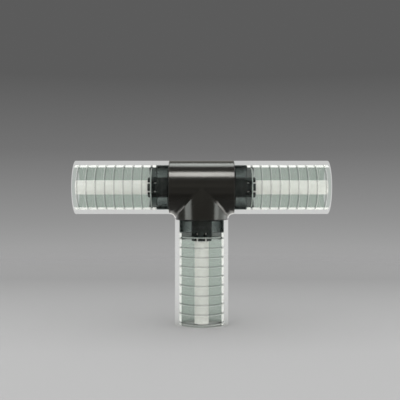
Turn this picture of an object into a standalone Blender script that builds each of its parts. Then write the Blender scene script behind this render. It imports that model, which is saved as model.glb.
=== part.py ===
"""Flush black tee for clear double-wall tube, standing on its branch with a short tube tail on each arm.

The tee body and the clear outer tubes share one outside diameter. Each arm has a spigot bonded into
the body, a seal between spigot and outer tube, and a slotted collet that grips a white core tube. A
grooved clear liner fills the space between core and outer tube.

Every arm is drawn along its own axis, with height measured from the centre of the tee, and is then
turned to the left, to the right or down. Units are metres, +Z is up and the run lies along X.
"""

import math

import bmesh
import bpy

# Gap between pieces that touch on the real fitting
FIT_GAP = 0.0003

# Clear outer tube, which sets the outside of the body
TUBE_OD = 0.0600
TUBE_WALL = 0.0046
TUBE_LEAD_IN = 0.0004
RUN_TUBE_LENGTH = 0.1050
BRANCH_TUBE_LENGTH = 0.1170

# Tee body
SADDLE_FILLET = 0.0056
LEG_LAND = 0.0002
EDGE_BREAK = 0.0008
SOCKET_WALL = 0.0090
SOCKET_DEPTH = 0.0120
FLOW_BORE = 0.0240
CHAMBER_CLEARANCE = 0.0030

# Spigot and the seal on its outside
SPIGOT_REACH = 0.0140
SPIGOT_CHAMFER = 0.0008
SEAL_DEPTH = 0.0022
SEAL_SETBACK = 0.0074

# White core tube
CORE_OD = 0.0160
CORE_WALL = 0.0015
CORE_GRIP = 0.0232

# Slotted collet
COLLET_WALL = 0.0032
COLLET_REACH = 0.0098
COLLET_SHANK = 0.0110
COLLET_STEP = 0.0008
COLLET_CHAMFER = 0.0005
SLOT_COUNT = 6
SLOT_WIDTH = 0.0010
SLOT_LENGTH = 0.0082
RELIEF_DIAMETER = 0.0034
MOUTH_WIDTH = 0.0038
MOUTH_DEPTH = 0.0030

# Centring disc round the collet's fingers
DISC_OFFSET = 0.0049
DISC_THICKNESS = 0.0013

# Grooved liner
GROOVE_DEPTH = 0.0016
GROOVE_WIDTH = 0.0024
GROOVE_TAPER = 0.0003
RUN_FIRST_GROOVE = 0.0052
RUN_GROOVE_PITCH = 0.01015
BRANCH_FIRST_GROOVE = 0.0060
BRANCH_GROOVE_PITCH = 0.0105
LINER_WALL = 0.0015

# Facets round a full turn
BODY_FACETS = 48
TUBE_FACETS = 48
SPIGOT_FACETS = 32
INNER_FACETS = 24
FILLET_FACETS = 6
CHAMBER_FACETS = 12
SEAL_SECTION_FACETS = 6
RELIEF_FACETS = 10

# How far a cutter runs past the surface that it opens
CUT_OVERRUN = 0.0020

# Radii and heights that follow from the sizes above
TUBE_RADIUS = TUBE_OD / 2
TUBE_BORE_RADIUS = TUBE_RADIUS - TUBE_WALL
RIM_RADIUS = TUBE_RADIUS - EDGE_BREAK
EDGE_START = TUBE_RADIUS + SADDLE_FILLET + LEG_LAND
LEG = EDGE_START + EDGE_BREAK
TUBE_START = LEG + FIT_GAP

SOCKET_RADIUS = TUBE_RADIUS - SOCKET_WALL
SOCKET_FLOOR = LEG - SOCKET_DEPTH
FLOW_RADIUS = FLOW_BORE / 2
CHAMBER_RADIUS = FLOW_RADIUS + CHAMBER_CLEARANCE
BORE_CUT_START = CHAMBER_RADIUS / 2

CORE_RADIUS = CORE_OD / 2
CORE_BORE_RADIUS = CORE_RADIUS - CORE_WALL

SPIGOT_RADIUS = TUBE_BORE_RADIUS - FIT_GAP
SPIGOT_NOSE = LEG + SPIGOT_REACH
SEAL_FLOOR_RADIUS = SPIGOT_RADIUS - SEAL_DEPTH
SEAL_INNER_RADIUS = SEAL_FLOOR_RADIUS + FIT_GAP
SEAL_HEIGHT = LEG + SEAL_SETBACK
SEAL_GROOVE_HALF = (SPIGOT_RADIUS - SEAL_INNER_RADIUS) / 2 + FIT_GAP
CORE_END = SPIGOT_NOSE - CORE_GRIP

COLLET_BORE_RADIUS = CORE_RADIUS + FIT_GAP
COLLET_RADIUS = COLLET_BORE_RADIUS + COLLET_WALL
COLLET_SHANK_RADIUS = COLLET_RADIUS - COLLET_STEP
COLLET_SHANK_END = SPIGOT_NOSE - COLLET_SHANK
COLLET_TIP = SPIGOT_NOSE + COLLET_REACH
COLLET_SEAT_RADIUS = COLLET_SHANK_RADIUS + FIT_GAP

CORE_SEAL_RADIUS = (COLLET_SEAT_RADIUS + CORE_RADIUS) / 2
CORE_SEAL_HALF = (COLLET_SEAT_RADIUS - CORE_RADIUS) / 2 - FIT_GAP
CORE_SEAL_HEIGHT = COLLET_SHANK_END - FIT_GAP - CORE_SEAL_HALF
CORE_SEAL_FLOOR = CORE_SEAL_HEIGHT - CORE_SEAL_HALF - FIT_GAP

LINER_START = SPIGOT_NOSE + FIT_GAP
LINER_CREST_RADIUS = TUBE_BORE_RADIUS - FIT_GAP
LINER_FLOOR_RADIUS = LINER_CREST_RADIUS - GROOVE_DEPTH
LINER_BORE_RADIUS = LINER_FLOOR_RADIUS - LINER_WALL
DISC_START = SPIGOT_NOSE + DISC_OFFSET

RUN_REACH = TUBE_START + RUN_TUBE_LENGTH
BRANCH_REACH = TUBE_START + BRANCH_TUBE_LENGTH

# Turn about Y that lays an arm drawn along +Z, where its tail ends, and its liner's first groove and pitch
ARMS = {
    "left": (-math.pi / 2, RUN_REACH, RUN_FIRST_GROOVE, RUN_GROOVE_PITCH),
    "right": (math.pi / 2, RUN_REACH, RUN_FIRST_GROOVE, RUN_GROOVE_PITCH),
    "branch": (math.pi, BRANCH_REACH, BRANCH_FIRST_GROOVE, BRANCH_GROOVE_PITCH),
}


def clear_scene():
    for obj in list(bpy.data.objects):
        bpy.data.objects.remove(obj)


def material(name, colour, roughness, alpha=1.0):
    made = bpy.data.materials.new(name)
    made.use_nodes = True
    shader = made.node_tree.nodes["Principled BSDF"]
    shader.inputs["Base Color"].default_value = (*colour, 1.0)
    shader.inputs["Roughness"].default_value = roughness
    shader.inputs["Metallic"].default_value = 0.0
    shader.inputs["Alpha"].default_value = alpha
    return made


def finished_mesh(shape, name):
    """Turns a bmesh into a mesh with its faces pointing out, smooth except at edges."""
    bmesh.ops.remove_doubles(shape, verts=shape.verts, dist=1e-6)
    bmesh.ops.recalc_face_normals(shape, faces=shape.faces)
    mesh = bpy.data.meshes.new(name)
    shape.to_mesh(mesh)
    shape.free()
    mesh.shade_smooth()
    mesh.set_sharp_from_angle(angle=math.radians(30))
    return mesh


def turned(name, outline, facets, has_bore=True):
    """Spins a (radius, height) outline about Z. One without a bore starts and ends on the axis."""
    shape = bmesh.new()
    points = [shape.verts.new((radius, 0, height)) for radius, height in outline]
    ends = points[1:] + points[:1] if has_bore else points[1:]
    edges = [shape.edges.new(pair) for pair in zip(points, ends)]
    bmesh.ops.spin(
        shape,
        geom=points + edges,
        cent=(0, 0, 0),
        axis=(0, 0, 1),
        angle=2 * math.pi,
        steps=facets,
        use_merge=True,
    )
    return finished_mesh(shape, name)


def placed(name, mesh, finish=None, parent=None):
    obj = bpy.data.objects.new(name, mesh)
    bpy.context.scene.collection.objects.link(obj)
    obj.parent = parent
    if finish and not mesh.materials:
        mesh.materials.append(finish)
    return obj


def cutter(name, mesh, parent=None):
    obj = placed(name, mesh, parent=parent)
    obj.hide_render = True
    obj.display_type = "WIRE"
    return obj


def cut(obj, tool):
    difference = obj.modifiers.new(tool.name, "BOOLEAN")
    difference.operation = "DIFFERENCE"
    difference.solver = "EXACT"
    difference.object = tool


def saddle_slice(angle, side):
    """One slice of the crotch: from the rim of the run, round the fillet, to the rim of the branch.

    The angle is measured round the run from straight down. The fillet touches both cylinders where a
    ball of its full radius would, so it is widest in the crotch and dies out at the front and back.
    """
    half_width = TUBE_RADIUS * math.cos(angle)
    depth = TUBE_RADIUS * math.sin(angle)
    rim_half_width = RIM_RADIUS * math.cos(angle)
    rim_depth = RIM_RADIUS * math.sin(angle)
    radius = SADDLE_FILLET * math.cos(angle)
    centre = half_width + radius
    points = [(side * LEG, rim_depth, -rim_half_width), (side * EDGE_START, depth, -half_width)]
    for step in range(FILLET_FACETS + 1):
        turn = math.pi / 2 * step / FILLET_FACETS
        x = centre - radius * math.sin(turn)
        z = -centre + radius * math.cos(turn)
        points.append((side * x, depth, z))
    points += [(side * half_width, depth, -EDGE_START), (side * rim_half_width, rim_depth, -LEG)]
    return points


def crown_slice(angle):
    """A line along the upper half of the run, from the rim of one leg to the rim of the other."""
    profile = [
        (-LEG, RIM_RADIUS),
        (-EDGE_START, TUBE_RADIUS),
        (0, TUBE_RADIUS),
        (EDGE_START, TUBE_RADIUS),
        (LEG, RIM_RADIUS),
    ]
    return [(x, radius * math.sin(angle), -radius * math.cos(angle)) for x, radius in profile]


def skin(shape, slices):
    """Faces between neighbouring slices."""
    rows = [[shape.verts.new(point) for point in points] for points in slices]
    for row, following in zip(rows, rows[1:]):
        for index in range(len(row) - 1):
            shape.faces.new((row[index], row[index + 1], following[index + 1], following[index]))


def tee_blank():
    """The solid outside of the tee, centred where its axes cross."""
    half_turn = BODY_FACETS // 2
    lower = [math.pi * (step / half_turn - 0.5) for step in range(half_turn + 1)]
    upper = [angle + math.pi for angle in lower]
    shape = bmesh.new()
    for side in (-1, 1):
        skin(shape, [saddle_slice(angle, side) for angle in lower])
    skin(shape, [crown_slice(angle) for angle in upper])
    bmesh.ops.remove_doubles(shape, verts=shape.verts, dist=1e-6)
    bmesh.ops.dissolve_degenerate(shape, dist=1e-6, edges=shape.edges)
    bmesh.ops.holes_fill(shape, edges=shape.edges)
    return finished_mesh(shape, "tee_body")


def chamber_mesh():
    shape = bmesh.new()
    bmesh.ops.create_uvsphere(
        shape, u_segments=2 * CHAMBER_FACETS, v_segments=CHAMBER_FACETS, radius=CHAMBER_RADIUS
    )
    return finished_mesh(shape, "chamber_cutter")


def socket_mesh():
    """Flow bore and spigot socket of one arm, from inside the chamber to past the end of the leg."""
    outline = [
        (0, BORE_CUT_START),
        (FLOW_RADIUS, BORE_CUT_START),
        (FLOW_RADIUS, SOCKET_FLOOR),
        (SOCKET_RADIUS, SOCKET_FLOOR),
        (SOCKET_RADIUS, LEG + CUT_OVERRUN),
        (0, LEG + CUT_OVERRUN),
    ]
    return turned("socket_cutter", outline, SPIGOT_FACETS, has_bore=False)


def spigot_mesh():
    outline = [
        (SPIGOT_RADIUS - SPIGOT_CHAMFER, SPIGOT_NOSE),
        (SPIGOT_RADIUS, SPIGOT_NOSE - SPIGOT_CHAMFER),
        (SPIGOT_RADIUS, SEAL_HEIGHT + SEAL_GROOVE_HALF),
        (SEAL_FLOOR_RADIUS, SEAL_HEIGHT + SEAL_GROOVE_HALF),
        (SEAL_FLOOR_RADIUS, SEAL_HEIGHT - SEAL_GROOVE_HALF),
        (SPIGOT_RADIUS, SEAL_HEIGHT - SEAL_GROOVE_HALF),
        (SPIGOT_RADIUS, LEG + FIT_GAP),
        (SOCKET_RADIUS - FIT_GAP, LEG + FIT_GAP),
        (SOCKET_RADIUS - FIT_GAP, SOCKET_FLOOR + FIT_GAP),
        (CORE_BORE_RADIUS, SOCKET_FLOOR + FIT_GAP),
        (CORE_BORE_RADIUS, CORE_END - FIT_GAP),
        (CORE_RADIUS + FIT_GAP, CORE_END - FIT_GAP),
        (CORE_RADIUS + FIT_GAP, CORE_SEAL_FLOOR),
        (COLLET_SEAT_RADIUS, CORE_SEAL_FLOOR),
        (COLLET_SEAT_RADIUS, SPIGOT_NOSE),
    ]
    return turned("spigot", outline, SPIGOT_FACETS)


def seal_mesh(name, radius, half_section, height):
    outline = []
    for step in range(SEAL_SECTION_FACETS):
        turn = 2 * math.pi * step / SEAL_SECTION_FACETS
        outline.append((radius + half_section * math.cos(turn), height + half_section * math.sin(turn)))
    return turned(name, outline, INNER_FACETS)


def keyhole_mesh():
    """Keyhole prisms, one for each of the collet's slots: a round relief, a slit and a wide mouth."""
    half = SLOT_WIDTH / 2
    relief = RELIEF_DIAMETER / 2
    relief_height = COLLET_TIP - SLOT_LENGTH
    mouth_height = COLLET_TIP - MOUTH_DEPTH
    neck = math.asin(half / relief)
    outline = [
        (-MOUTH_WIDTH / 2, COLLET_TIP + CUT_OVERRUN),
        (-MOUTH_WIDTH / 2, mouth_height),
        (-half, mouth_height),
    ]
    for step in range(RELIEF_FACETS + 1):
        turn = neck + (2 * math.pi - 2 * neck) * step / RELIEF_FACETS
        outline.append((-relief * math.sin(turn), relief_height + relief * math.cos(turn)))
    outline += [
        (half, mouth_height),
        (MOUTH_WIDTH / 2, mouth_height),
        (MOUTH_WIDTH / 2, COLLET_TIP + CUT_OVERRUN),
    ]

    shape = bmesh.new()
    for slot in range(SLOT_COUNT):
        turn = 2 * math.pi * slot / SLOT_COUNT
        out = (math.cos(turn), math.sin(turn))
        start = COLLET_BORE_RADIUS - CUT_OVERRUN
        base = [
            shape.verts.new((start * out[0] - across * out[1], start * out[1] + across * out[0], height))
            for across, height in outline
        ]
        face = shape.faces.new(base)
        grown = bmesh.ops.extrude_face_region(shape, geom=[face])["geom"]
        reach = COLLET_WALL + 2 * CUT_OVERRUN
        bmesh.ops.translate(
            shape,
            verts=[item for item in grown if isinstance(item, bmesh.types.BMVert)],
            vec=(reach * out[0], reach * out[1], 0),
        )
    return finished_mesh(shape, "keyhole_cutter")


def collet_mesh():
    outline = [
        (COLLET_RADIUS - COLLET_CHAMFER, COLLET_TIP),
        (COLLET_RADIUS, COLLET_TIP - COLLET_CHAMFER),
        (COLLET_RADIUS, SPIGOT_NOSE + FIT_GAP),
        (COLLET_SHANK_RADIUS, SPIGOT_NOSE + FIT_GAP),
        (COLLET_SHANK_RADIUS, COLLET_SHANK_END),
        (COLLET_BORE_RADIUS, COLLET_SHANK_END),
        (COLLET_BORE_RADIUS, COLLET_TIP),
    ]
    return turned("collet", outline, INNER_FACETS)


def disc_mesh():
    outline = [
        (LINER_BORE_RADIUS - FIT_GAP, DISC_START + DISC_THICKNESS),
        (LINER_BORE_RADIUS - FIT_GAP, DISC_START),
        (COLLET_RADIUS + FIT_GAP, DISC_START),
        (COLLET_RADIUS + FIT_GAP, DISC_START + DISC_THICKNESS),
    ]
    return turned("centring_disc", outline, SPIGOT_FACETS)


def tube_mesh(reach):
    outline = [
        (TUBE_RADIUS, reach),
        (TUBE_RADIUS, TUBE_START),
        (TUBE_BORE_RADIUS + TUBE_LEAD_IN, TUBE_START),
        (TUBE_BORE_RADIUS, TUBE_START + TUBE_LEAD_IN),
        (TUBE_BORE_RADIUS, reach),
    ]
    return turned("outer_tube", outline, TUBE_FACETS)


def core_mesh(reach):
    outline = [
        (CORE_RADIUS, reach),
        (CORE_RADIUS, CORE_END),
        (CORE_BORE_RADIUS, CORE_END),
        (CORE_BORE_RADIUS, reach),
    ]
    return turned("core_tube", outline, INNER_FACETS)


def liner_mesh(reach, first_groove, pitch):
    """Sleeve with a groove round it at every pitch, as many as fit before the end of the tail."""
    first = SPIGOT_NOSE + first_groove
    half = GROOVE_WIDTH / 2
    count = 1 + int((reach - first - GROOVE_WIDTH) / pitch)
    outline = [(LINER_BORE_RADIUS, reach), (LINER_CREST_RADIUS, reach)]
    for groove in reversed(range(count)):
        middle = first + groove * pitch
        outline += [
            (LINER_CREST_RADIUS, middle + half),
            (LINER_FLOOR_RADIUS, middle + half - GROOVE_TAPER),
            (LINER_FLOOR_RADIUS, middle - half + GROOVE_TAPER),
            (LINER_CREST_RADIUS, middle - half),
        ]
    outline += [(LINER_CREST_RADIUS, LINER_START), (LINER_BORE_RADIUS, LINER_START)]
    return turned("liner", outline, INNER_FACETS)


def build():
    clear_scene()
    gloss_black = material("gloss_black_plastic", (0.020, 0.020, 0.017), 0.16)
    satin_black = material("satin_black_plastic", (0.022, 0.023, 0.022), 0.30)
    rubber = material("seal_rubber", (0.015, 0.015, 0.015), 0.65)
    clear = material("clear_tube", (0.88, 0.92, 0.89), 0.08, alpha=0.30)
    smoked = material("grey_green_liner", (0.50, 0.56, 0.50), 0.25, alpha=0.60)
    white = material("white_core", (0.78, 0.80, 0.78), 0.35)
    pale = material("pale_disc", (0.72, 0.76, 0.74), 0.30, alpha=0.80)

    body = placed("tee_body", tee_blank(), gloss_black)
    body.location.z = BRANCH_REACH
    chamber = cutter("chamber_cutter", chamber_mesh())
    chamber.location.z = BRANCH_REACH
    cut(body, chamber)

    shared = {
        "spigot": (spigot_mesh(), satin_black),
        "tube_seal": (
            seal_mesh(
                "tube_seal",
                (SEAL_INNER_RADIUS + SPIGOT_RADIUS) / 2,
                (SPIGOT_RADIUS - SEAL_INNER_RADIUS) / 2,
                SEAL_HEIGHT,
            ),
            rubber,
        ),
        "core_seal": (seal_mesh("core_seal", CORE_SEAL_RADIUS, CORE_SEAL_HALF, CORE_SEAL_HEIGHT), rubber),
        "collet": (collet_mesh(), satin_black),
        "centring_disc": (disc_mesh(), pale),
    }
    socket = socket_mesh()
    keyholes = keyhole_mesh()

    for arm, (turn, reach, first_groove, pitch) in ARMS.items():
        axis = placed(f"{arm}_axis", None)
        axis.location.z = BRANCH_REACH
        axis.rotation_euler.y = turn
        cut(body, cutter(f"{arm}_socket_cutter", socket, axis))
        for piece, (mesh, finish) in shared.items():
            obj = placed(f"{arm}_{piece}", mesh, finish, axis)
            if piece == "collet":
                cut(obj, cutter(f"{arm}_keyhole_cutter", keyholes, axis))
        placed(f"{arm}_outer_tube", tube_mesh(reach), clear, axis)
        placed(f"{arm}_liner", liner_mesh(reach, first_groove, pitch), smoked, axis)
        placed(f"{arm}_core_tube", core_mesh(reach), white, axis)


build()
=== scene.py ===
"""Looks of the flush black tee and its clear double-wall tube tails."""
import math

import bmesh
import bpy
from mathutils import Matrix, Vector


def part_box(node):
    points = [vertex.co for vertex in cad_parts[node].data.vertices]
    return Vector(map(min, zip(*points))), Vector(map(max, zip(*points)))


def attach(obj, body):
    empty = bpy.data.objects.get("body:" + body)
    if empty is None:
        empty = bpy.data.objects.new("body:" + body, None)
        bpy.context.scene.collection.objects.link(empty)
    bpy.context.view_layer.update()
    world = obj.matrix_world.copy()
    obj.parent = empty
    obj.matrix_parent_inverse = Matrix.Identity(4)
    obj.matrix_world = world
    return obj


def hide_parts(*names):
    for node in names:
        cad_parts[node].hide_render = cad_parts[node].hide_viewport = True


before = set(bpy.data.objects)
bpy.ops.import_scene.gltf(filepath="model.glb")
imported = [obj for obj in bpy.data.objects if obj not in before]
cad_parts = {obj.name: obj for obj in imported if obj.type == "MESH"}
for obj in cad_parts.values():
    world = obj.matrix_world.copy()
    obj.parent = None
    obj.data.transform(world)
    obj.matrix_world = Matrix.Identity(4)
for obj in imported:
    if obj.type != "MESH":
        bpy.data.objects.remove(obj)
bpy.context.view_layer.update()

# Outside radius of the body, where the axes of the run and the branch cross, and how far its legs reach
LOW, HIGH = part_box("tee_body")
TUBE_RADIUS = (HIGH.y - LOW.y) / 2
CENTRE = Vector((0, 0, HIGH.z - TUBE_RADIUS))
LEG = HIGH.x

# Turn about Y that lays an arm drawn along +Z
ARMS = {"left": -math.pi / 2, "right": math.pi / 2, "branch": math.pi}

# The photograph's frame: its width in pixels, where the axes cross in it, and the size of a pixel there
FRAME_PIXELS = 400
CENTRE_PIXEL = (201.6, 187.4)
METRES_PER_PIXEL = 0.00113
CAMERA_DISTANCE = 0.80
SENSOR_WIDTH_MM = 36

# Gap between pieces that touch on the real fitting, and round a seal or web that fills its seat
FIT_GAP = 0.0003
CLOSE_GAP = 0.00005

# Sizes of the body, the spigots and their seals that their boxes don't give
SADDLE_FILLET = 0.0056
EDGE_BREAK = 0.0008
SOCKET_RADIUS = 0.0210
SPIGOT_CHAMFER = 0.0008
SEAL_DEPTH = 0.0022
COLLET_SEAT_RADIUS = 0.0110
HUB_RADIUS = 0.0116
HUB_WEB = 0.0010
SLEEVE_BORE_RADIUS = 0.0220

# Sizes of the clear pieces that their boxes don't give
TUBE_WALL = 0.0046
TUBE_LEAD_IN = 0.0004
CORE_WALL = 0.0015
LINER_WALL = 0.0031
GROOVE_DEPTH = 0.0016
GROOVE_WIDTH = 0.0024
GROOVE_TAPER = 0.0003
DISC_BORE_RADIUS = 0.0118

# Middle of the first groove from the start of a liner, the pitch of the grooves, and how far the dark root
# reaches past the first
RUN_GROOVES = (0.0049, 0.01015, 0.0030)
BRANCH_GROOVES = (0.0057, 0.0105, 0.0019)

# Facets round a full turn, and round the fillet of the body
FACETS = 96
FILLET_FACETS = 12

# Points closer than this are one, and edges that turn more than this stay sharp
MERGE_DISTANCE = 1e-6
SHARP_ANGLE = math.radians(30)

# Most values of a noise texture lie between these
NOISE_LOW = 0.3
NOISE_HIGH = 0.7


def add_camera():
    data = bpy.data.cameras.new("camera")
    data.sensor_width = SENSOR_WIDTH_MM
    data.lens = SENSOR_WIDTH_MM * CAMERA_DISTANCE / (FRAME_PIXELS * METRES_PER_PIXEL)
    camera = bpy.data.objects.new("camera", data)
    right = (FRAME_PIXELS / 2 - CENTRE_PIXEL[0]) * METRES_PER_PIXEL
    up = (CENTRE_PIXEL[1] - FRAME_PIXELS / 2) * METRES_PER_PIXEL
    camera.location = CENTRE + Vector((right, -CAMERA_DISTANCE, up))
    camera.rotation_euler = (math.pi / 2, 0, 0)
    bpy.context.scene.collection.objects.link(camera)
    bpy.context.scene.camera = camera


class Graph:
    """Short names for building a node tree."""

    def __init__(self, tree):
        self.nodes = tree.nodes
        self.links = tree.links

    def add(self, kind, sources=None, **values):
        node = self.nodes.new(kind)
        for name, value in values.items():
            setattr(node, name, value)
        for name, source in (sources or {}).items():
            if isinstance(source, bpy.types.NodeSocket):
                self.links.new(source, node.inputs[name])
            else:
                node.inputs[name].default_value = source
        return node

    def math(self, operation, first, second):
        return self.add("ShaderNodeMath", {0: first, 1: second}, operation=operation).outputs[0]

    def span(self, value, start, end, low=0.0, high=1.0, kind="LINEAR"):
        """The value's place between start and end, as a number from low to high."""
        sources = {"Value": value, "From Min": start, "From Max": end, "To Min": low, "To Max": high}
        return self.add("ShaderNodeMapRange", sources, interpolation_type=kind).outputs["Result"]

    def ramp(self, factor, stops):
        """A colour that blends from stop to stop. A stop is a position and a colour."""
        node = self.add("ShaderNodeValToRGB", {"Fac": factor})
        points = node.color_ramp.elements
        while len(points) < len(stops):
            points.new(0.5)
        for point, (position, colour) in zip(points, stops):
            point.position = position
            point.color = (*colour, 1.0)
        return node.outputs["Color"]

    def mix(self, factor, first, second):
        node = self.add("ShaderNodeMix", {"Factor": factor}, data_type="RGBA")
        for name, source in (("A_Color", first), ("B_Color", second)):
            socket = next(s for s in node.inputs if s.identifier == name)
            if isinstance(source, bpy.types.NodeSocket):
                self.links.new(source, socket)
            else:
                socket.default_value = (*source, 1.0)
        return next(s for s in node.outputs if s.identifier == "Result_Color")

    def ray(self, kind):
        return self.add("ShaderNodeLightPath").outputs[kind]

    def mirrored(self):
        """1 for a ray that a glossy surface reflects. Rays through clear plastic count as glossy too."""
        return self.math("SUBTRACT", self.ray("Is Glossy Ray"), self.ray("Is Transmission Ray"))

    def bounced(self):
        """1 for light that a matt surface has scattered on its way to the eye."""
        return self.math("MINIMUM", self.ray("Diffuse Depth"), 1.0)

    def inside(self):
        """1 where a face is seen from inside its piece."""
        return self.add("ShaderNodeNewGeometry").outputs["Backfacing"]

    def place(self):
        return self.add("ShaderNodeTexCoord").outputs["Object"]

    def noise(self, scale, detail=3.0):
        sources = {"Vector": self.place(), "Scale": scale, "Detail": detail}
        return self.add("ShaderNodeTexNoise", sources).outputs["Fac"]

    def drift(self, noise, low, high):
        """A number that drifts from low to high with a noise."""
        return self.span(noise, NOISE_LOW, NOISE_HIGH, low, high)

    def drift_colour(self, noise, first, second):
        """A colour that drifts from the first to the second with a noise."""
        return self.ramp(noise, [(NOISE_LOW, first), (NOISE_HIGH, second)])

    def feed(self, shader, **sources):
        """Links sockets or sets values on a shader's inputs, named with _ for a space."""
        for name, source in sources.items():
            socket = shader.inputs[name.replace("_", " ")]
            if isinstance(source, bpy.types.NodeSocket):
                self.links.new(source, socket)
            else:
                socket.default_value = source


def material(name):
    made = bpy.data.materials.new(name)
    made.use_nodes = True
    graph = Graph(made.node_tree)
    return made, graph, graph.nodes["Principled BSDF"]


def grey(value):
    return (value, value, value)


# Stage
# Tones of the surroundings from low to high, each list over its own span of heights. Heights and depths are
# the upright and the backward part of a direction of length 1.
BACKDROP_HEIGHTS = (-0.25, 0.25)
BACKDROP = [
    (0.0, grey(0.62)),
    (0.158, grey(0.52)),
    (0.444, grey(0.29)),
    (0.641, grey(0.168)),
    (0.842, grey(0.105)),
]
DOME_HEIGHTS = (-1.0, 1.0)
DOME = [
    (0.40, grey(0.72)),
    (0.50, grey(0.60)),
    (0.53, grey(0.56)),
    (0.60, grey(0.56)),
    (0.80, grey(1.32)),
]
FRONT_DOME = [(0.50, grey(1.15)), (0.80, grey(1.32))]
FRONT_DEPTHS = (0.0, -0.5)
SURROUND_HEIGHTS = (-0.1, 0.4)
SURROUND = [
    (0.16, (0.26, 0.26, 0.23)),
    (0.205, (0.42, 0.41, 0.36)),
    (0.225, (0.80, 0.77, 0.67)),
    (0.48, (0.68, 0.65, 0.57)),
    (0.88, (0.42, 0.41, 0.37)),
]
LOW_GLOW = grey(1.5)
LOW_GLOW_HEIGHTS = (0.02, -0.02)
LOW_GLOW_DEPTHS = (0.35, 0.65)


def add_world():
    """Surroundings that show in three ways.

    The camera sees a backdrop that shades from dark above to pale below. Soft light and clear plastic get an
    even dome, which is brighter in front for light off matt surfaces. Gloss gets a dim surround with a glow
    low behind the part.
    """
    world = bpy.data.worlds.new("studio")
    world.use_nodes = True
    bpy.context.scene.world = world
    graph = Graph(world.node_tree)
    direction = graph.add("ShaderNodeTexCoord").outputs["Generated"]
    parts = graph.add("ShaderNodeSeparateXYZ", {0: direction}).outputs
    height = parts["Z"]
    depth = parts["Y"]
    backdrop = graph.ramp(graph.span(height, *BACKDROP_HEIGHTS), BACKDROP)
    dome = graph.ramp(graph.span(height, *DOME_HEIGHTS), DOME)
    front_dome = graph.ramp(graph.span(height, *DOME_HEIGHTS), FRONT_DOME)
    surround = graph.ramp(graph.span(height, *SURROUND_HEIGHTS), SURROUND)
    low = graph.span(height, *LOW_GLOW_HEIGHTS)
    behind = graph.span(depth, *LOW_GLOW_DEPTHS)
    gloss = graph.mix(graph.math("MULTIPLY", low, behind), surround, LOW_GLOW)
    front = graph.math("MULTIPLY", graph.span(depth, *FRONT_DEPTHS), graph.bounced())
    soft = graph.mix(front, dome, front_dome)
    shown = graph.mix(graph.ray("Is Camera Ray"), graph.mix(graph.mirrored(), soft, gloss), backdrop)
    graph.feed(graph.nodes["Background"], Color=shown, Strength=1.0)


# How far the floor lies below the part, its width, and the distances between which it fades out
FLOOR_DROP = 0.0004
FLOOR_SIZE = 3.2
FLOOR_SOLID = 0.35
FLOOR_FADE = 1.5

# Tones of the floor from far to near, as the camera sees it and as gloss shows it
FLOOR_DEPTHS = (0.45, -0.15)
FLOOR_TONES = [(0.0, grey(0.28)), (1.0, grey(0.43))]
FLOOR_MIRROR_DEPTHS = (-0.31, -0.03)
FLOOR_MIRROR_TONES = [
    (0.0, (0.38, 0.36, 0.33)),
    (0.07, grey(0.0)),
    (0.40, grey(0.06)),
    (0.75, grey(0.26)),
    (1.0, grey(0.32)),
]

# Tone of the floor through clear plastic, and as it lights matt surfaces
FLOOR_THROUGH = grey(0.50)
FLOOR_BOUNCE = (0.90, 0.90, 0.89)


def add_floor():
    mesh = bpy.data.meshes.new("floor")
    half = FLOOR_SIZE / 2
    corners = [(-half, -half, 0), (half, -half, 0), (half, half, 0), (-half, half, 0)]
    mesh.from_pydata(corners, [], [(0, 1, 2, 3)])
    floor = bpy.data.objects.new("floor", mesh)
    floor.location.z = -FLOOR_DROP
    bpy.context.scene.collection.objects.link(floor)
    made, graph, shader = material("pale_floor")
    depth = graph.add("ShaderNodeSeparateXYZ", {0: graph.place()}).outputs["Y"]
    direct = graph.ramp(graph.span(depth, *FLOOR_DEPTHS), FLOOR_TONES)
    reflection = graph.ramp(graph.span(depth, *FLOOR_MIRROR_DEPTHS), FLOOR_MIRROR_TONES)
    through = graph.mix(graph.ray("Is Transmission Ray"), direct, FLOOR_THROUGH)
    seen = graph.mix(graph.mirrored(), through, reflection)
    graph.feed(
        shader,
        Base_Color=graph.mix(graph.bounced(), seen, FLOOR_BOUNCE),
        Roughness=0.9,
        Specular_IOR_Level=0.0,
    )
    distance = graph.add("ShaderNodeVectorMath", {0: graph.place()}, operation="LENGTH").outputs["Value"]
    fade = graph.span(distance, FLOOR_SOLID, FLOOR_FADE, kind="SMOOTHSTEP")
    clear = graph.add("ShaderNodeBsdfTransparent").outputs[0]
    mix = graph.add("ShaderNodeMixShader", {0: fade, 1: shader.outputs[0], 2: clear})
    graph.links.new(mix.outputs[0], graph.nodes["Material Output"].inputs["Surface"])
    mesh.materials.append(made)


# Where the cards stand, and the size and radiance of the glow off the floor
STRIP_DISTANCE = 1.0
BOX_DISTANCE = 1.2
BOX_RISE = -0.06
FLOOR_CARD_HEIGHT = 0.001
FLOOR_GLOW_SIZE = 1.2
FLOOR_GLOW = 0.30
WARM_WHITE = (1.0, 0.985, 0.93)
COOL_WHITE = (0.95, 1.0, 0.95)


def add_card(name, place, towards, width, height, radiance, colour):
    """A bright card that shows only in gloss. A mirror would show its radiance."""
    data = bpy.data.lights.new(name, "AREA")
    data.shape = "RECTANGLE"
    data.size = width
    data.size_y = height
    data.energy = radiance * math.pi * width * height
    data.color = colour
    lamp = bpy.data.objects.new(name, data)
    lamp.location = place
    lamp.rotation_euler = towards.to_track_quat("-Z", "Y").to_euler()
    lamp.visible_camera = False
    lamp.visible_diffuse = False
    lamp.visible_transmission = False
    bpy.context.scene.collection.objects.link(lamp)
    return lamp


def add_overhead_strip(name, degrees, width, height, radiance, colour):
    """A strip over the run that faces it, from the camera's side at 0 over the top to behind at 180."""
    angle = math.radians(degrees)
    out = Vector((0, -math.cos(angle), math.sin(angle)))
    add_card(name, CENTRE + out * STRIP_DISTANCE, -out, width, height, radiance, colour)


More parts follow.
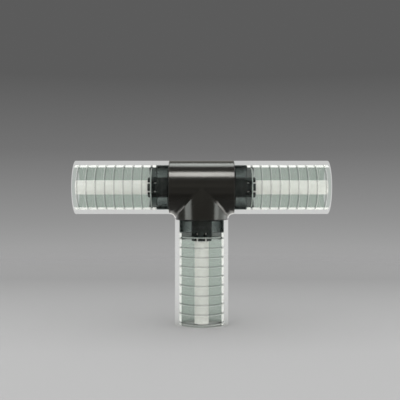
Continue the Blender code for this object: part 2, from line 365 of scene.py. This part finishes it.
def sideways(degrees):
    """Level direction from the tee, from the camera's side at 0 towards the right at 90."""
    angle = math.radians(degrees)
    return Vector((math.sin(angle), -math.cos(angle), 0))


def add_side_box(name, degrees, width, height, radiance):
    """A box level with the branch that faces it."""
    out = sideways(degrees)
    place = CENTRE + out * BOX_DISTANCE + Vector((0, 0, BOX_RISE))
    add_card(name, place, -out, width, height, radiance, COOL_WHITE)


def add_floor_card(name, degrees, near, far, width, radiance):
    """A card that lies on the floor and reaches away from the branch's foot."""
    place = sideways(degrees) * (near + far) / 2 + Vector((0, 0, FLOOR_CARD_HEIGHT))
    lamp = add_card(name, place, Vector((0, 0, 1)), width, far - near, radiance, WARM_WHITE)
    lamp.rotation_euler = (math.pi, 0, math.radians(degrees))


def add_floor_glow():
    """Soft light off the floor, which shows on matt surfaces alone."""
    place = Vector((0, 0, FLOOR_CARD_HEIGHT))
    up = Vector((0, 0, 1))
    lamp = add_card("floor_glow", place, up, FLOOR_GLOW_SIZE, FLOOR_GLOW_SIZE, FLOOR_GLOW, WARM_WHITE)
    lamp.visible_diffuse = True
    lamp.visible_glossy = False


def add_cards():
    add_floor_glow()
    add_overhead_strip("front_strip", degrees=56, width=0.24, height=0.367, radiance=28.0, colour=WARM_WHITE)
    add_overhead_strip("rear_strip", degrees=111, width=0.24, height=0.42, radiance=7.6, colour=COOL_WHITE)
    add_side_box("left_box", degrees=-59, width=0.643, height=0.16, radiance=9.4)
    add_side_box("right_box", degrees=66, width=0.42, height=0.16, radiance=10.5)
    add_side_box("right_rear_box", degrees=101, width=1.10, height=0.16, radiance=4.2)
    add_floor_card("left_low", degrees=-75, near=0.20, far=0.80, width=0.22, radiance=10.0)
    add_floor_card("right_low", degrees=57, near=0.16, far=0.80, width=0.18, radiance=11.0)
    add_floor_card("right_side_low", degrees=88, near=0.20, far=0.70, width=0.26, radiance=4.8)
    add_floor_card("rear_low", degrees=180, near=0.06, far=1.40, width=2.00, radiance=1.8)


# Materials
# Clear plastic that hardly bends light, and what the smoke in the collars takes out of it
CLEAR_IOR = 1.0005
SMOKE_COLOUR = (0.0, 0.06, 0.05, 1.0)
SMOKE_DENSITY = 225.0

# Share of light that passes the haze of the sleeve and the frost on a disc's rim, and that the seal stops
SLEEVE_CLARITY = 0.99
RIM_CLARITY = 0.3
SEAL_HAZE = 0.04

# Where the liner is painted white as an edge highlight, as one less the cosine of the angle to the eye, and
# its tone
EDGE_HIGHLIGHT_FROM = 0.54
EDGE_HIGHLIGHT_TO = 0.60
EDGE_HIGHLIGHT_WHITE = (0.80, 0.81, 0.795)

# Pale tone that the liner's tint drifts towards, how far it drifts, and its tint for light off matt surfaces
LINER_PALE = grey(0.9)
LINER_DRIFT = 0.12
LINER_BOUNCE = grey(0.76)


def gloss_black():
    """Moulded plastic with a shallow grain."""
    made, graph, shader = material("gloss_black_plastic")
    broad = graph.noise(scale=22.0)
    grain = {"Height": graph.noise(scale=900.0, detail=2.0), "Strength": 0.02, "Distance": 0.0002}
    graph.feed(
        shader,
        Base_Color=graph.drift_colour(broad, (0.0070, 0.0066, 0.0054), (0.0086, 0.0081, 0.0067)),
        Roughness=graph.drift(broad, 0.18, 0.22),
        Specular_IOR_Level=0.25,
        Normal=graph.add("ShaderNodeBump", grain).outputs[0],
    )
    return made


def satin_black(name, first, second):
    made, graph, shader = material(name)
    broad = graph.noise(scale=60.0)
    graph.feed(
        shader,
        Base_Color=graph.drift_colour(broad, first, second),
        Roughness=graph.drift(broad, 0.18, 0.24),
        Specular_IOR_Level=0.12,
    )
    return made


def add_smoke(graph):
    """Darkens what is seen through a material by its thickness."""
    smoke = graph.add("ShaderNodeVolumeAbsorption", {"Color": SMOKE_COLOUR, "Density": SMOKE_DENSITY})
    graph.links.new(smoke.outputs[0], graph.nodes["Material Output"].inputs["Volume"])


def smoky_sleeve():
    """Smoky clear plastic with a faint haze."""
    made, graph, shader = material("smoky_sleeve")
    haze = graph.noise(scale=60.0)
    graph.feed(
        shader,
        Base_Color=graph.drift_colour(haze, (0.90, 0.93, 0.92), (0.96, 0.98, 0.97)),
        Roughness=graph.drift(haze, 0.0, 0.03),
        IOR=CLEAR_IOR,
        Transmission_Weight=SLEEVE_CLARITY,
    )
    add_smoke(graph)
    return made


def smoky_seal():
    """Smoky soft plastic, as dark and as hazy as the sleeve round it."""
    made, graph, shader = material("smoky_seal")
    colour = graph.drift_colour(graph.noise(scale=300.0), grey(0.26), grey(0.32))
    graph.feed(shader, Base_Color=colour, Roughness=0.3, Specular_IOR_Level=0.0, Alpha=SEAL_HAZE)
    add_smoke(graph)
    return made


def seal_rubber():
    made, graph, shader = material("seal_rubber")
    speckle = graph.noise(scale=500.0, detail=4.0)
    colour = graph.ramp(speckle, [(0.35, grey(0.010)), (0.65, grey(0.020))])
    graph.feed(shader, Base_Color=colour, Roughness=0.6, Specular_IOR_Level=0.05)
    return made


def white_core():
    made, graph, shader = material("white_core")
    cloud = graph.noise(scale=120.0)
    colour = graph.drift_colour(cloud, (0.835, 0.795, 0.790), (0.865, 0.825, 0.820))
    graph.feed(shader, Base_Color=colour, Roughness=0.4, Specular_IOR_Level=0.2)
    return made


def pale_rim():
    """Frosted edge of the disc, which shows from outside and is clear from inside."""
    made, graph, shader = material("pale_disc")
    frost = graph.noise(scale=300.0)
    graph.feed(
        shader,
        Base_Color=graph.drift_colour(frost, (0.60, 0.63, 0.61), (0.68, 0.71, 0.69)),
        Roughness=0.1,
        IOR=CLEAR_IOR,
        Transmission_Weight=graph.span(graph.inside(), 0.0, 1.0, RIM_CLARITY, 1.0),
    )
    return made


def clear_plastic(name, first, second, transmission=1.0):
    """Thin clear plastic. Its tint drifts between two colours with a faint haze."""
    made, graph, shader = material(name)
    haze = graph.noise(scale=40.0)
    graph.feed(
        shader,
        Base_Color=graph.drift_colour(haze, first, second),
        Roughness=graph.drift(haze, 0.0, 0.03),
        IOR=CLEAR_IOR,
        Specular_IOR_Level=0.0,
        Transmission_Weight=transmission,
    )
    return made


def clear_liner(name, outside, inside, painted_edge_highlight):
    """Clear plastic tinted apart outside and inside. Seen edge on, it may get a painted white highlight."""
    made, graph, shader = material(name)
    tint = graph.mix(graph.inside(), outside, inside)
    tint = graph.mix(graph.drift(graph.noise(scale=30.0), 0.0, LINER_DRIFT), tint, LINER_PALE)
    tint = graph.mix(graph.bounced(), tint, LINER_BOUNCE)
    graph.feed(shader, Base_Color=tint, Roughness=0.02, IOR=CLEAR_IOR, Transmission_Weight=1.0)
    if painted_edge_highlight:
        # Painted highlight: white where the liner is seen edge on, for the bright edges that clear plastic
        # shows
        facing = graph.add("ShaderNodeLayerWeight", {"Blend": 0.5}).outputs["Facing"]
        edge_highlight = graph.span(facing, EDGE_HIGHLIGHT_FROM, EDGE_HIGHLIGHT_TO, kind="SMOOTHSTEP")
        clear = graph.math("SUBTRACT", 1.0, edge_highlight)
        graph.feed(shader, Base_Color=graph.mix(edge_highlight, tint, EDGE_HIGHLIGHT_WHITE), Transmission_Weight=clear)
    return made


def paint(node, finish):
    """Gives a CAD node a finished material in place of its plain one."""
    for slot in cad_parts[node].material_slots:
        slot.link = "OBJECT"
        slot.material = finish


def add_piece(shape, node, body, finishes):
    """Shows a shape in place of a CAD node, with its faces pointing out, smooth except at edges."""
    bmesh.ops.recalc_face_normals(shape, faces=shape.faces)
    bmesh.ops.translate(shape, vec=CENTRE, verts=shape.verts)
    name = f"{node}_shown"
    mesh = bpy.data.meshes.new(name)
    shape.to_mesh(mesh)
    shape.free()
    mesh.shade_smooth()
    mesh.set_sharp_from_angle(angle=SHARP_ANGLE)
    for finish in finishes:
        mesh.materials.append(finish)
    obj = bpy.data.objects.new(name, mesh)
    bpy.context.scene.collection.objects.link(obj)
    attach(obj, body)
    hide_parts(node)


# Body
def saddle_slice(angle, side, radius, rim):
    """One slice of the crotch: from the rim of the run, round the fillet, to the rim of the branch."""
    across = math.cos(angle)
    depth = math.sin(angle)
    fillet = SADDLE_FILLET * across
    centre = radius * across + fillet
    points = [(LEG, rim * depth, -rim * across), (LEG - EDGE_BREAK, radius * depth, -radius * across)]
    for step in range(FILLET_FACETS + 1):
        turn = math.pi / 2 * step / FILLET_FACETS
        points.append((centre - fillet * math.sin(turn), radius * depth, fillet * math.cos(turn) - centre))
    points += [(radius * across, radius * depth, EDGE_BREAK - LEG), (rim * across, rim * depth, -LEG)]
    return [(side * x, y, z) for x, y, z in points]


def crown_slice(angle, radius, rim):
    """A line along the upper half of the run, from rim to rim."""
    profile = [(-LEG, rim), (EDGE_BREAK - LEG, radius), (0, radius), (LEG - EDGE_BREAK, radius), (LEG, rim)]
    return [(x, size * math.sin(angle), -size * math.cos(angle)) for x, size in profile]


def skin(shape, slices):
    """Faces between neighbouring slices."""
    rows = [[shape.verts.new(point) for point in points] for points in slices]
    for row, following in zip(rows, rows[1:]):
        for index in range(len(row) - 1):
            shape.faces.new((row[index], row[index + 1], following[index + 1], following[index]))


def wall_slice(outside, inside):
    """A slice through the wall of the tee: along its outside, back along its sockets, and closed."""
    return outside + inside[::-1] + outside[:1]


def add_body(finish):
    """A hollow tee, made of two crotches below and a crown above."""
    shape = bmesh.new()
    half_turn = FACETS // 2
    lower = [math.pi * (step / half_turn - 0.5) for step in range(half_turn + 1)]
    upper = [angle + math.pi for angle in lower]
    outside = (TUBE_RADIUS, TUBE_RADIUS - EDGE_BREAK)
    inside = (SOCKET_RADIUS, SOCKET_RADIUS + EDGE_BREAK)
    for side in (-1, 1):
        outer = [saddle_slice(angle, side, *outside) for angle in lower]
        inner = [saddle_slice(angle, side, *inside) for angle in lower]
        skin(shape, [wall_slice(*pair) for pair in zip(outer, inner)])
    outer = [crown_slice(angle, *outside) for angle in upper]
    inner = [crown_slice(angle, *inside) for angle in upper]
    skin(shape, [wall_slice(*pair) for pair in zip(outer, inner)])
    bmesh.ops.remove_doubles(shape, verts=shape.verts, dist=MERGE_DISTANCE)
    bmesh.ops.dissolve_degenerate(shape, dist=MERGE_DISTANCE, edges=shape.edges)
    add_piece(shape, "tee_body", "fitting", [finish])


# Pieces turned round an arm's axis
def spin(shape, outline):
    """Spins a closed outline of (radius, height, finish) points.

    A finish is the number of the material on the band from its point to the next.
    """
    turns = [2 * math.pi * step / FACETS for step in range(FACETS)]
    rings = []
    for radius, height, _ in outline:
        rings.append([shape.verts.new((radius * math.cos(t), radius * math.sin(t), height)) for t in turns])
    for index, (_, _, finish) in enumerate(outline):
        ring = rings[index]
        following = rings[(index + 1) % len(rings)]
        for step in range(FACETS):
            ahead = (step + 1) % FACETS
            face = shape.faces.new((ring[step], ring[ahead], following[ahead], following[step]))
            face.material_index = finish


def turned(arm, piece, body, outlines, finishes):
    """Shows turned outlines in place of a piece of an arm."""
    shape = bmesh.new()
    for outline in outlines:
        spin(shape, outline)
    bmesh.ops.rotate(shape, matrix=Matrix.Rotation(ARMS[arm], 3, "Y"), verts=shape.verts)
    add_piece(shape, f"{arm}_{piece}", body, finishes)


def along(arm, piece):
    """Outside radius, start and end of a round piece, measured along its arm from the centre of the tee."""
    low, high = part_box(f"{arm}_{piece}")
    radius = (high.y - low.y) / 2
    if arm == "left":
        return radius, -high.x, -low.x
    if arm == "right":
        return radius, low.x, high.x
    return radius, CENTRE.z - high.z, CENTRE.z - low.z


# Order of the materials on a spigot, a disc and a liner
SLEEVE, HUB = range(2)
RIM, FACE = range(2)
CREST, ROOT, ROOT_GROOVE, GROOVE, GROOVE_SIDE, BORE = range(6)


def add_spigot(arm, finishes):
    """A black hub that holds the collet, and a smoky sleeve round its web with a groove for the seal."""
    radius, start, nose = along(arm, "spigot")
    _, seal_start, seal_end = along(arm, "tube_seal")
    core_radius, core_end, _ = along(arm, "core_tube")
    _, core_seal_start, _ = along(arm, "core_seal")
    seal_floor = radius - SEAL_DEPTH
    socket = SOCKET_RADIUS - FIT_GAP
    shoulder = LEG + FIT_GAP
    core_bore = core_radius - CORE_WALL
    core_seat = core_radius + FIT_GAP
    web_rim = SLEEVE_BORE_RADIUS - CLOSE_GAP
    sleeve = [
        (radius - SPIGOT_CHAMFER, nose, SLEEVE),
        (radius, nose - SPIGOT_CHAMFER, SLEEVE),
        (radius, seal_end + FIT_GAP, SLEEVE),
        (seal_floor, seal_end + FIT_GAP, SLEEVE),
        (seal_floor, seal_start - FIT_GAP, SLEEVE),
        (radius, seal_start - FIT_GAP, SLEEVE),
        (radius, shoulder, SLEEVE),
        (SLEEVE_BORE_RADIUS, shoulder, SLEEVE),
        (SLEEVE_BORE_RADIUS, nose, SLEEVE),
    ]
    hub = [
        (HUB_RADIUS, nose, HUB),
        (HUB_RADIUS, shoulder + HUB_WEB, HUB),
        (web_rim, shoulder + HUB_WEB, HUB),
        (web_rim, shoulder, HUB),
        (socket, shoulder, HUB),
        (socket, start, HUB),
        (core_bore, start, HUB),
        (core_bore, core_end - FIT_GAP, HUB),
        (core_seat, core_end - FIT_GAP, HUB),
        (core_seat, core_seal_start - FIT_GAP, HUB),
        (COLLET_SEAT_RADIUS, core_seal_start - FIT_GAP, HUB),
        (COLLET_SEAT_RADIUS, nose, HUB),
    ]
    turned(arm, "spigot", "fitting", [sleeve, hub], finishes)


def add_tube_seal(arm, finishes):
    """A square ring that fills the groove of the sleeve."""
    radius, start, end = along(arm, "tube_seal")
    bottom = radius - SEAL_DEPTH + CLOSE_GAP
    low = start - FIT_GAP + CLOSE_GAP
    high = end + FIT_GAP - CLOSE_GAP
    outline = [(radius, low, 0), (radius, high, 0), (bottom, high, 0), (bottom, low, 0)]
    turned(arm, "tube_seal", f"{arm}_seal", [outline], finishes)


def add_outer_tube(arm, finishes):
    radius, start, end = along(arm, "outer_tube")
    bore = radius - TUBE_WALL
    outline = [
        (radius, start, 0),
        (radius, end, 0),
        (bore, end, 0),
        (bore, start + TUBE_LEAD_IN, 0),
        (bore + TUBE_LEAD_IN, start, 0),
    ]
    turned(arm, "outer_tube", f"{arm}_tail", [outline], finishes)


def add_core_tube(arm, finishes):
    radius, start, end = along(arm, "core_tube")
    bore = radius - CORE_WALL
    outline = [(radius, start, 0), (radius, end, 0), (bore, end, 0), (bore, start, 0)]
    turned(arm, "core_tube", f"{arm}_tail", [outline], finishes)


def add_disc(arm, finishes):
    radius, start, end = along(arm, "centring_disc")
    bore = DISC_BORE_RADIUS
    outline = [(radius, start, RIM), (radius, end, FACE), (bore, end, FACE), (bore, start, FACE)]
    turned(arm, "centring_disc", "fitting", [outline], finishes)


def add_liner(arm, finishes):
    radius, start, end = along(arm, "liner")
    floor = radius - GROOVE_DEPTH
    bore = radius - LINER_WALL
    half = GROOVE_WIDTH / 2
    offset, pitch, root_reach = BRANCH_GROOVES if arm == "branch" else RUN_GROOVES
    first = start + offset
    count = 1 + int((end - first - GROOVE_WIDTH) / pitch)
    outline = [(radius, start, ROOT)]
    for groove in range(count):
        middle = first + groove * pitch
        side, bottom = (GROOVE_SIDE, GROOVE) if groove else (ROOT_GROOVE, ROOT_GROOVE)
        outline += [
            (radius, middle - half, side),
            (floor, middle - half + GROOVE_TAPER, bottom),
            (floor, middle + half - GROOVE_TAPER, side),
            (radius, middle + half, CREST if groove else ROOT),
        ]
        if not groove:
            outline.append((radius, middle + half + root_reach, CREST))
    outline += [(radius, end, BORE), (bore, end, BORE), (bore, start, BORE)]
    turned(arm, "liner", f"{arm}_tail", [outline], finishes)


# Tints of the liner: its crests, its grooves with painted shade on their floors, and its dark root next to
# the fitting
CREST_TINT = (0.56, 0.64, 0.59)
# Painted shade: a groove's floor is darker seen from outside than from inside, for the dark line along each
# groove
GROOVE_PAINTED_SHADE = (0.28, 0.32, 0.295)
GROOVE_TINT_INSIDE = (0.57, 0.65, 0.60)
ROOT_TINT = (0.52, 0.56, 0.54)
ROOT_TINT_INSIDE = (0.010, 0.016, 0.014)


def liner_finishes():
    """The materials of a liner, in their order."""
    return [
        clear_liner("liner_crest", CREST_TINT, CREST_TINT, painted_edge_highlight=True),
        clear_liner("liner_root", ROOT_TINT, ROOT_TINT_INSIDE, painted_edge_highlight=True),
        clear_liner("liner_root_groove", ROOT_TINT, ROOT_TINT_INSIDE, painted_edge_highlight=False),
        # Groove floors carry painted shade, darker from outside than from inside
        clear_liner("liner_groove", GROOVE_PAINTED_SHADE, GROOVE_TINT_INSIDE, painted_edge_highlight=False),
        # Painted highlight: the groove walls are pale and partly opaque, for the light line beside each
        # groove
        clear_plastic("liner_groove_side", (0.80, 0.83, 0.81), (0.88, 0.90, 0.88), transmission=0.6),
        clear_plastic("liner_bore", (0.985, 0.99, 0.985), (0.995, 1.0, 0.995)),
    ]


def dress():
    """Shows finished pieces in place of the CAD nodes, and paints the collets and core seals."""
    satin = satin_black("satin_black_plastic", (0.030, 0.034, 0.034), (0.042, 0.047, 0.047))
    hub = satin_black("hub_plastic", (0.022, 0.025, 0.024), (0.028, 0.031, 0.030))
    sleeve = smoky_sleeve()
    seal = smoky_seal()
    rubber = seal_rubber()
    tube = clear_plastic("clear_tube", (0.97, 0.98, 0.965), (0.985, 0.99, 0.98))
    liner = liner_finishes()
    core = white_core()
    rim = pale_rim()
    disc_face = clear_plastic("disc_face", (0.90, 0.92, 0.91), (0.94, 0.96, 0.95))
    add_body(gloss_black())
    for arm in ARMS:
        paint(f"{arm}_collet", satin)
        paint(f"{arm}_core_seal", rubber)
        add_spigot(arm, [sleeve, hub])
        add_tube_seal(arm, [seal])
        add_outer_tube(arm, [tube])
        add_liner(arm, liner)
        add_core_tube(arm, [core])
        add_disc(arm, [rim, disc_face])


bpy.context.scene.view_settings.view_transform = "Standard"
add_camera()
add_world()
add_floor()
add_cards()
dress()
